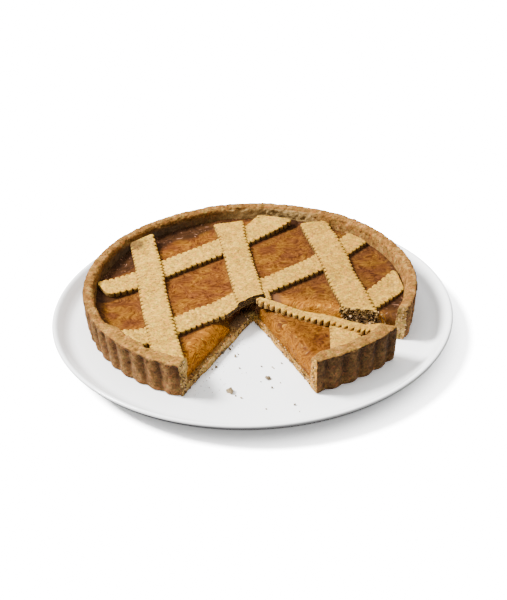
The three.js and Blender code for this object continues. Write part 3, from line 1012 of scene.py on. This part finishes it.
def plate_mesh():
    """The china plate: foot ring, flat well and an upturned lip with a rounded edge."""
    under = PLATE_WELL_TOP - PLATE_THICKNESS
    inner = PLATE_FOOT_RADIUS - PLATE_FOOT_WIDTH / 2
    outer = PLATE_FOOT_RADIUS + PLATE_FOOT_WIDTH / 2
    profile = [
        (inner - 3, under), (inner - 1, under - 0.8), (inner + 0.4, 0.5), (inner + 1.4, 0),
        (outer - 1.4, 0), (outer - 0.4, 0.5), (outer + 1.6, under - 0.8), (outer + 4, under),
        (PLATE_WELL_RADIUS - 8, under + 0.3), (PLATE_WELL_RADIUS, under + 1.5), (146, 8.6),
        (PLATE_RADIUS - 3, 12.7), (PLATE_RADIUS - 0.6, 15.6), (PLATE_RADIUS, 17),
        (PLATE_RADIUS - 0.5, 18.1), (PLATE_RADIUS - 1.6, PLATE_HEIGHT), (PLATE_RADIUS - 2.8, 18.2),
        (PLATE_RADIUS - 4.4, 17), (PLATE_RADIUS - 7.5, 13.4), (PLATE_WELL_RADIUS + 5, PLATE_WELL_TOP + 2),
        (PLATE_WELL_RADIUS + 2, PLATE_WELL_TOP + 0.6), (PLATE_WELL_RADIUS - 1.5, PLATE_WELL_TOP),
        (60, PLATE_WELL_TOP),
    ]
    turn = np.linspace(0, 2 * math.pi, PLATE_COLUMNS, endpoint=False)
    radius, height = np.array(profile).T[..., None]
    grid = np.dstack((radius * np.cos(turn), radius * np.sin(turn), height + 0 * turn))
    points = np.concatenate((grid.reshape(-1, 3), ((0, 0, under), (0, 0, PLATE_WELL_TOP)))) - TART_CENTRE
    faces = grid_faces(len(profile), PLATE_COLUMNS, closed=True)
    bottom = len(points) - 2
    last = bottom - PLATE_COLUMNS
    for column in range(PLATE_COLUMNS):
        beside = (column + 1) % PLATE_COLUMNS
        faces.append((bottom, beside, column))
        faces.append((bottom + 1, last + column, last + beside))
    return make_mesh("china_plate", points, faces)


# ---------------------------------------------------------------- materials

class Graph:
    """Short calls for building the nodes of a material or a world. Sizes are in millimetres."""

    def __init__(self, owner):
        owner.use_nodes = True
        self.owner = owner
        self.nodes = owner.node_tree.nodes
        self.links = owner.node_tree.links
        self.places = self.node("TexCoord").outputs
        self.coordinates = self.places["Object"]

    def feed(self, socket, value):
        """Gives a socket another socket or a value; a colour is three numbers."""
        if isinstance(value, bpy.types.NodeSocket):
            self.links.new(value, socket)
        else:
            socket.default_value = (*value, 1) if socket.type == "RGBA" else value

    def node(self, kind, inputs=(), **settings):
        """A node with its settings made and its inputs fed, by their names or numbers."""
        node = self.nodes.new("ShaderNode" + kind)
        for setting, value in settings.items():
            setattr(node, setting, value)
        for socket, value in dict(inputs).items():
            self.feed(node.inputs[socket], value)
        return node

    def math(self, operation, *values):
        return self.node("Math", enumerate(values), operation=operation).outputs[0]

    def noise(self, size, detail=2, roughness=0.5, distortion=0, stretch=None):
        place = self.coordinates
        if stretch:
            place = self.node("Mapping", {"Vector": place, "Scale": stretch}).outputs[0]
        inputs = {"Vector": place, "Scale": 1000 / size, "Detail": detail, "Roughness": roughness}
        return self.node("TexNoise", {**inputs, "Distortion": distortion}).outputs["Fac"]

    def warp(self, size, amount):
        """Bends the coordinates for later calls, in lumps of this size and by about this amount."""
        inputs = {"Vector": self.coordinates, "Scale": 1000 / size, "Detail": 1}
        colour = self.node("TexNoise", inputs).outputs["Color"]
        inputs = (colour, (4 * amount / 1000,) * 3, self.coordinates)
        self.coordinates = self.node("VectorMath", enumerate(inputs), operation="MULTIPLY_ADD").outputs[0]

    def mask(self, name):
        return self.node("Attribute", attribute_name=name).outputs["Fac"]

    def ramp(self, value, places, *tones):
        """A colour that runs through tones at places from 0 to 1."""
        node = self.node("ValToRGB", {0: value})
        elements = node.color_ramp.elements
        while len(elements) < len(tones):
            elements.new(0.5)
        for element, place, tone in zip(elements, places, tones):
            element.position = place
            element.color = (*tone, 1)
        return node.outputs[0]

    def window(self, value, low, high):
        """0 where value is short of low, 1 where it is past high, and a soft step between."""
        inputs = {"Value": value, "From Min": low, "From Max": high}
        return self.node("MapRange", inputs, interpolation_type="SMOOTHSTEP").outputs[0]

    def mix(self, share, first, second, blend="MIX"):
        inputs = {0: share, 6: first, 7: second}
        return self.node("Mix", inputs, data_type="RGBA", blend_type=blend).outputs[2]

    def tint(self, colour, tone):
        """A colour times a tone."""
        return self.mix(1, colour, tone, "MULTIPLY")

    def lay(self, colour, tone, where, amount=1):
        """A colour with this amount of a tone laid over it, where a share or the mask of this name is."""
        share = self.mask(where) if isinstance(where, str) else where
        return self.mix(share if amount == 1 else self.math("MULTIPLY", share, amount), colour, tone)

    def bump(self, height, strength, distance, normal=None):
        inputs = {"Height": height, "Strength": strength, "Distance": distance / 1000}
        if normal:
            inputs["Normal"] = normal
        return self.node("Bump", inputs).outputs[0]

    def finish(self, colour, roughness, normal, specular):
        """Feeds the surface's shader, and hands over the material."""
        values = {"Base Color": colour, "Roughness": roughness, "Normal": normal}
        values["Specular IOR Level"] = specular
        for socket, value in values.items():
            self.feed(self.nodes["Principled BSDF"].inputs[socket], value)
        return self.owner


def material_graph(name):
    """An empty graph for a new material."""
    return Graph(bpy.data.materials.new(name))


def china_material():
    """Glazed white china with faint unevenness."""
    graph = material_graph("white china")
    tint = graph.ramp(graph.noise(60), (0.35, 0.65), (0.9, 0.9, 0.89), (0.93, 0.93, 0.92))
    roughness = graph.math("MULTIPLY_ADD", graph.noise(9), 0.06, 0.09)
    return graph.finish(tint, roughness, graph.bump(graph.noise(14), 0.1, 0.4), 0.5)


def pastry_colour(graph, dark, middle, light, speck):
    """Wholemeal pastry: mottled, with grey-green, rosy and pale grains and dark specks of bran."""
    colour = graph.ramp(graph.noise(5, 4, 0.65), (0.34, 0.5, 0.66), dark, middle, light)
    shaded = graph.tint(colour, (0.6, 0.61, 0.55))
    colour = graph.mix(graph.window(graph.noise(1.5, 2, 0.7), 0.36, 0.6), shaded, colour)
    rosy = graph.window(graph.noise(2.6, 1, 0.5, 0.3), 0.52, 0.66)
    colour = graph.lay(colour, graph.tint(colour, (1.28, 1.05, 1.22)), rosy)
    green = graph.window(graph.noise(2.2, 1, 0.5, 0.6), 0.52, 0.68)
    colour = graph.lay(colour, graph.tint(colour, (0.77, 0.93, 0.8)), green)
    return graph.lay(colour, speck, graph.window(graph.noise(1.7, 1, 0.5, 0.2), 0.66, 0.71))


def pastry_normal(graph, strength):
    """Coarse flakes with fine grain on them."""
    flakes = graph.bump(graph.noise(2.4, 3, 0.7), strength, 0.8)
    return graph.bump(graph.noise(0.8, 2, 0.7), strength, 0.35, flakes)


def strip_material(name, edge, *broken):
    """Pale pastry, with an edge tone of painted shade on its sides, and the darkest, the middle and the pale
    tone of its broken ends.
    """
    graph = material_graph(name)
    tones = (0.38, 0.19, 0.018), (0.475, 0.255, 0.025), (0.6, 0.36, 0.05), (0.16, 0.07, 0.012)
    colour = pastry_colour(graph, *tones)
    # Darker towards the right of the tart.
    colour = graph.lay(colour, graph.tint(colour, (0.76, 0.72, 0.66)), "darker_rightwards")
    # A darker brown patch.
    colour = graph.lay(colour, (0.08, 0.036, 0.009), "dark_patch", 0.8)
    dots = graph.window(graph.noise(3.4, 0), 0.73, 0.77)
    colour = graph.lay(colour, (0.17, 0.09, 0.022), dots, 0.7)
    # Painted shade on the strip's side faces and its ends.
    side = graph.window(graph.mask("level"), 0.95, 0.4)
    colour = graph.lay(colour, edge, side, 0.7)
    # Painted shade in the notches between the teeth.
    notch = graph.window(graph.math("MULTIPLY", graph.mask("notch"), side), 0.15, 0.75)
    colour = graph.lay(colour, (0.045, 0.021, 0.008), notch, 0.85)
    inside = graph.ramp(graph.noise(1.7, 2, 0.7), (0.4, 0.5, 0.6), *broken)
    colour = graph.lay(colour, inside, "cut", 0.9)
    return graph.finish(colour, 0.85, pastry_normal(graph, 0.8), 0.2)


def crust_material(name, shade_factor, *inside):
    """Baked crust, darkened by a factor for painted shade, and the dark, the middle and the pale tone of its
    cuts.
    """
    graph = material_graph(name)
    tones = (0.1, 0.043, 0.011), (0.165, 0.074, 0.019), (0.23, 0.118, 0.034), (0.035, 0.014, 0.005)
    outer = pastry_colour(graph, *(np.array(tones) * shade_factor).tolist())
    # Painted shade in the grooves between the flutes.
    outer = graph.lay(outer, graph.tint(outer, (0.33, 0.27, 0.23)), "groove")
    tones = (0.13, 0.052, 0.0085), (0.2, 0.086, 0.015), (0.3, 0.16, 0.04), (0.05, 0.02, 0.005)
    rim = pastry_colour(graph, *(np.array(tones) * (0.6 + 0.4 * shade_factor)).tolist())
    tones = (0.22, 0.105, 0.015), (0.29, 0.145, 0.021), (0.37, 0.205, 0.037), (0.1, 0.042, 0.01)
    rim = graph.lay(rim, pastry_colour(graph, *tones), "dough", 0.45 * shade_factor)
    colour = graph.lay(rim, outer, "outside")
    # Painted light on the inside of the back wall.
    painted_light_tone = graph.ramp(graph.noise(4, 3, 0.6), (0.38, 0.6), (0.3, 0.18, 0.055), (0.5, 0.31, 0.11))
    colour = graph.lay(colour, painted_light_tone, "pale")
    # Painted shade on the inside of the wall.
    colour = graph.lay(colour, (0.07, 0.042, 0.023), "painted_inner_shade")
    colour = graph.lay(colour, pastry_colour(graph, *inside, (0.05, 0.022, 0.007)), "cut")
    # Painted shade around the tip of the cut.
    colour = graph.lay(colour, (0.085, 0.045, 0.024), "painted_shade_at_tip", 0.75)
    return graph.finish(colour, 0.9, pastry_normal(graph, 0.6), 0.12)


def filling_material(name, riper):
    """Cooked fruit: an orange-brown set full of fine curled fibres, golden at the cuts and glossy in places.

    riper is what its colour is multiplied by where it is deep.
    """
    graph = material_graph(name)
    tones = (0.085, 0.025, 0.005), (0.115, 0.037, 0.005), (0.15, 0.056, 0.0048)
    colour = graph.ramp(graph.noise(13, 2, 0.55, 0.4), (0.38, 0.5, 0.62), *tones)
    # Painted shade in a mauve tint beside the strips.
    colour = graph.lay(colour, (0.08, 0.027, 0.005), "painted_mauve_shade", 0.6)
    colour = graph.lay(colour, graph.tint(colour, riper), "deep")
    colour = graph.lay(colour, (0.3, 0.106, 0.0055), "near_cut", 0.8)
    graph.warp(22, 9)
    graph.warp(6, 1.6)
    fibre = graph.noise(2, 2, 0.5, 0.6, (0.52, 1, 1))
    light = graph.tint(colour, (1.55, 1.6, 1.7))
    colour = graph.lay(colour, graph.tint(colour, (0.52, 0.42, 0.4)), graph.window(fibre, 0.5, 0.36))
    colour = graph.lay(colour, light, graph.window(fibre, 0.52, 0.66))
    # Painted glints near the cuts.
    glints = graph.math("MULTIPLY", graph.window(graph.noise(1.4, 0), 0.72, 0.77), graph.mask("near_cut"))
    colour = graph.lay(colour, (0.6, 0.33, 0.03), glints, 0.7)
    # Beside the wall the filling is baked darker, with the wall's shade painted on.
    tones = (0.012, 0.0048, 0.002), (0.034, 0.0128, 0.0045)
    baked = graph.ramp(graph.noise(5, 2, 0.6), (0.35, 0.65), *tones)
    # Painted glints on the filling beside the wall.
    painted_glints_by_wall = graph.window(graph.noise(2.4, 0), 0.72, 0.77)
    baked = graph.lay(baked, (0.26, 0.13, 0.08), painted_glints_by_wall, 0.6)
    colour = graph.lay(colour, baked, "baked_and_shaded_near_wall", 0.94)
    # Painted shade in the hollow at the tip of the cut.
    colour = graph.lay(colour, (0.1, 0.044, 0.021), "painted_shade_at_tip", 0.8)
    # Painted shadow of the strips on the filling in front of them.
    colour = graph.lay(colour, (0.018, 0.006, 0.002), "painted_strip_shadow", 0.85)
    normal = graph.bump(fibre, 0.7, 0.7, graph.bump(graph.noise(1, 2, 0.65), 0.3, 0.3))
    gloss = graph.window(graph.noise(4, 2, 0.6), 0.52, 0.68)
    roughness = graph.math("SUBTRACT", 0.6, graph.math("MULTIPLY", gloss, 0.25))
    return graph.finish(colour, roughness, normal, 0.035)


def crumb_material(name, *tones):
    """Crumbs in a range of tones, from burnt to pale."""
    graph = material_graph(name)
    colour = graph.ramp(graph.mask("tone"), (0, 0.35, 0.7, 1), *tones)
    shaded = graph.tint(colour, (0.7, 0.68, 0.62))
    colour = graph.mix(graph.window(graph.noise(0.8), 0.4, 0.6), shaded, colour)
    return graph.finish(colour, 0.85, graph.bump(graph.noise(0.5), 0.4, 0.2), 0.2)


# ---------------------------------------------------------------- the model

crumbly = (0.06, 0.03, 0.01), (0.27, 0.15, 0.04), (0.5, 0.32, 0.1)
# The break near the tip has near-black tones: painted shade.
shaded_break_tones = (0.01, 0.005, 0.003), (0.028, 0.014, 0.007), (0.06, 0.032, 0.014)
pale = strip_material("pale pastry", (0.26, 0.14, 0.035), *crumbly)
# The tart's strips have deeper painted shade on their side faces.
shade_edged = strip_material("pale pastry, dark edges", (0.07, 0.034, 0.011), *crumbly)
shade_broken = strip_material("pale pastry, dark break", (0.07, 0.034, 0.011), *shaded_break_tones)
tones = (0.25, 0.135, 0.032), (0.42, 0.25, 0.065), (0.58, 0.37, 0.12)
baked = crust_material("baked crust", 1, *tones)
tones = (0.24, 0.105, 0.016), (0.4, 0.19, 0.028), (0.52, 0.29, 0.055)
# The slice's crust is a darker copy: painted shade on its wall, which faces away from the light.
baked_and_shaded = crust_material("browned crust", 0.5, *tones)
tart_look = filling_material("fruit filling", (0.6, 0.63, 0.85))
slice_look = filling_material("slice's fruit filling", (0.62, 0.6, 0.42))
tones = (0.04, 0.021, 0.009), (0.13, 0.065, 0.02), (0.33, 0.185, 0.055), (0.6, 0.4, 0.22)
crumb = crumb_material("crumbs", *tones)
tones = (0.05, 0.035, 0.02), (0.13, 0.09, 0.05), (0.38, 0.28, 0.155), (0.6, 0.5, 0.35)
stray = crumb_material("loose crumbs", *tones)

add_piece("china_plate", plate_mesh(), china_material(), "plate", 60)
mesh = case_mesh("tart_case", TART, TART_CRUMBLED, "strip", 1, 31)
add_piece("tart_case", mesh, baked, "tart_crust")
mesh = case_mesh("slice_case", SLICE, SLICE_CRUMBLED, "slice", 0, 131)
add_piece("slice_case", mesh, baked_and_shaded, "slice_crust")
mesh = filling_mesh("tart_fruit", TART, TART_RECESS, TART_SLOPE, TART_GOLD, SUNKEN_DEPTH, "strip", 41)
add_piece("tart_fruit", mesh, tart_look, "tart_filling")
mesh = filling_mesh("slice_fruit", SLICE, SLICE_RECESS, SLICE_SLOPE, SLICE_GOLD, 0, "slice", 141)
add_piece("slice_fruit", mesh, slice_look, "slice_filling")

knives = {name: [sector_cuts(TART)] for name in STRIPS}
knives["strip_h2"].append(broken_cuts())
knives["strip_v2"].append(broken_cuts())
slice_cuts = sector_cuts(inset(SLICE, 0, -SLICE_OVERHANG))
knives["slice_strip_s2"] = [slice_cuts]
knives["slice_strip_s1"] = [slice_cuts + [nose_cut(SLICE)]]
knives["strip_offcut"] = []
for index, (node, strip) in enumerate(STRIPS.items()):
    name = node + "_pastry"
    on_slice = node.startswith("slice")
    centre = SLICE.centre if on_slice else TART.centre
    roughness = ROUGHNESS.get(node, 1)
    mesh = strip_mesh(name, strip, centre, knives[node], on_slice, roughness, 200 + 20 * index)
    look = shade_broken if node in ("strip_h2", "strip_v2") else pale if on_slice else shade_edged
    add_piece(name, mesh, look, node, 40)

crumb_groups = {
    "tart_base_crumbs": base_crumbs(TART, True, TART_CRUMBLED, 420, 0.3, 301),
    "tart_back_crumbs": base_crumbs(TART, False, TART_CRUMBLED, 160, 0.16, 302),
    "slice_base_crumbs": base_crumbs(SLICE, False, SLICE_CRUMBLED, 330, 0.16, 303),
    "tart_wall_crumbs": wall_crumbs(TART, True, 190, 0.5, 304),
    "back_wall_crumbs": wall_crumbs(TART, False, 90, 0.05, 305),
    "slice_wall_crumbs": wall_crumbs(SLICE, False, 90, 0.15, 306),
    "spilled_crumbs": spilled_crumbs(470, 307),
    "plate_crumbs": plate_crumbs(308),
}
for index, (name, group) in enumerate(crumb_groups.items()):
    look = stray if name == "plate_crumbs" else crumb
    add_piece(name, crumbs_mesh(name, *group, 400 + index), look, None, 45)


# ---------------------------------------------------------------- stage, light and camera

def add_floor():
    """A plain white table, bright enough to read as a white background."""
    mesh = bpy.data.meshes.new("table_top")
    mesh.from_pydata([(-5, -5, 0), (5, -5, 0), (5, 8, 0), (-5, 8, 0)], [], [(0, 1, 2, 3)])
    graph = material_graph("white table")
    graph.nodes.clear()
    shader = graph.node("BsdfDiffuse", {"Color": (FLOOR_GAIN,) * 3})
    graph.node("OutputMaterial", {"Surface": shader.outputs[0]})
    mesh.materials.append(graph.owner)
    floor = bpy.data.objects.new("table_top", mesh)
    bpy.context.collection.objects.link(floor)
    floor.visible_diffuse = False
    floor.visible_glossy = False


def add_sun(name, azimuth, elevation, strength, spread):
    """A far light from a direction in degrees, with soft shadows."""
    light = bpy.data.lights.new(name, "SUN")
    light.energy = strength
    light.angle = math.radians(spread)
    lamp = bpy.data.objects.new(name, light)
    lamp.rotation_euler = (math.radians(90 - elevation), 0, math.radians(azimuth + 90))
    bpy.context.collection.objects.link(lamp)


def add_world(low, high):
    """A dim studio with a broad light overhead: strengths near the horizon and straight above."""
    graph = Graph(bpy.data.worlds.new("studio"))
    upwards = graph.node("SeparateXYZ", {0: graph.places["Generated"]}).outputs["Z"]
    inputs = {"Value": upwards, "From Min": 0.5, "From Max": 0.95, "To Min": low, "To Max": high}
    rise = graph.node("MapRange", inputs, interpolation_type="SMOOTHSTEP")
    background = graph.nodes["Background"]
    graph.feed(background.inputs["Strength"], rise.outputs[0])
    graph.feed(background.inputs["Color"], (1, 1, 1))
    bpy.context.scene.world = graph.owner


def add_camera():
    """The camera, looking down on the plate from in front."""
    camera = bpy.data.cameras.new("camera")
    camera.lens = CAMERA_LENS
    camera.sensor_width = 36
    camera.clip_end = 50
    holder = bpy.data.objects.new("camera", camera)
    holder.location = CAMERA_PLACE
    looking = Vector((0, math.cos(CAMERA_TILT), -math.sin(CAMERA_TILT)))
    holder.rotation_mode = "QUATERNION"
    holder.rotation_quaternion = looking.to_track_quat("-Z", "Y") @ Quaternion((0, 0, 1), CAMERA_ROLL)
    bpy.context.collection.objects.link(holder)
    bpy.context.scene.camera = holder


add_floor()
add_sun("key", azimuth=168, elevation=47, strength=15, spread=18)
add_world(low=0.12, high=3)
add_camera()
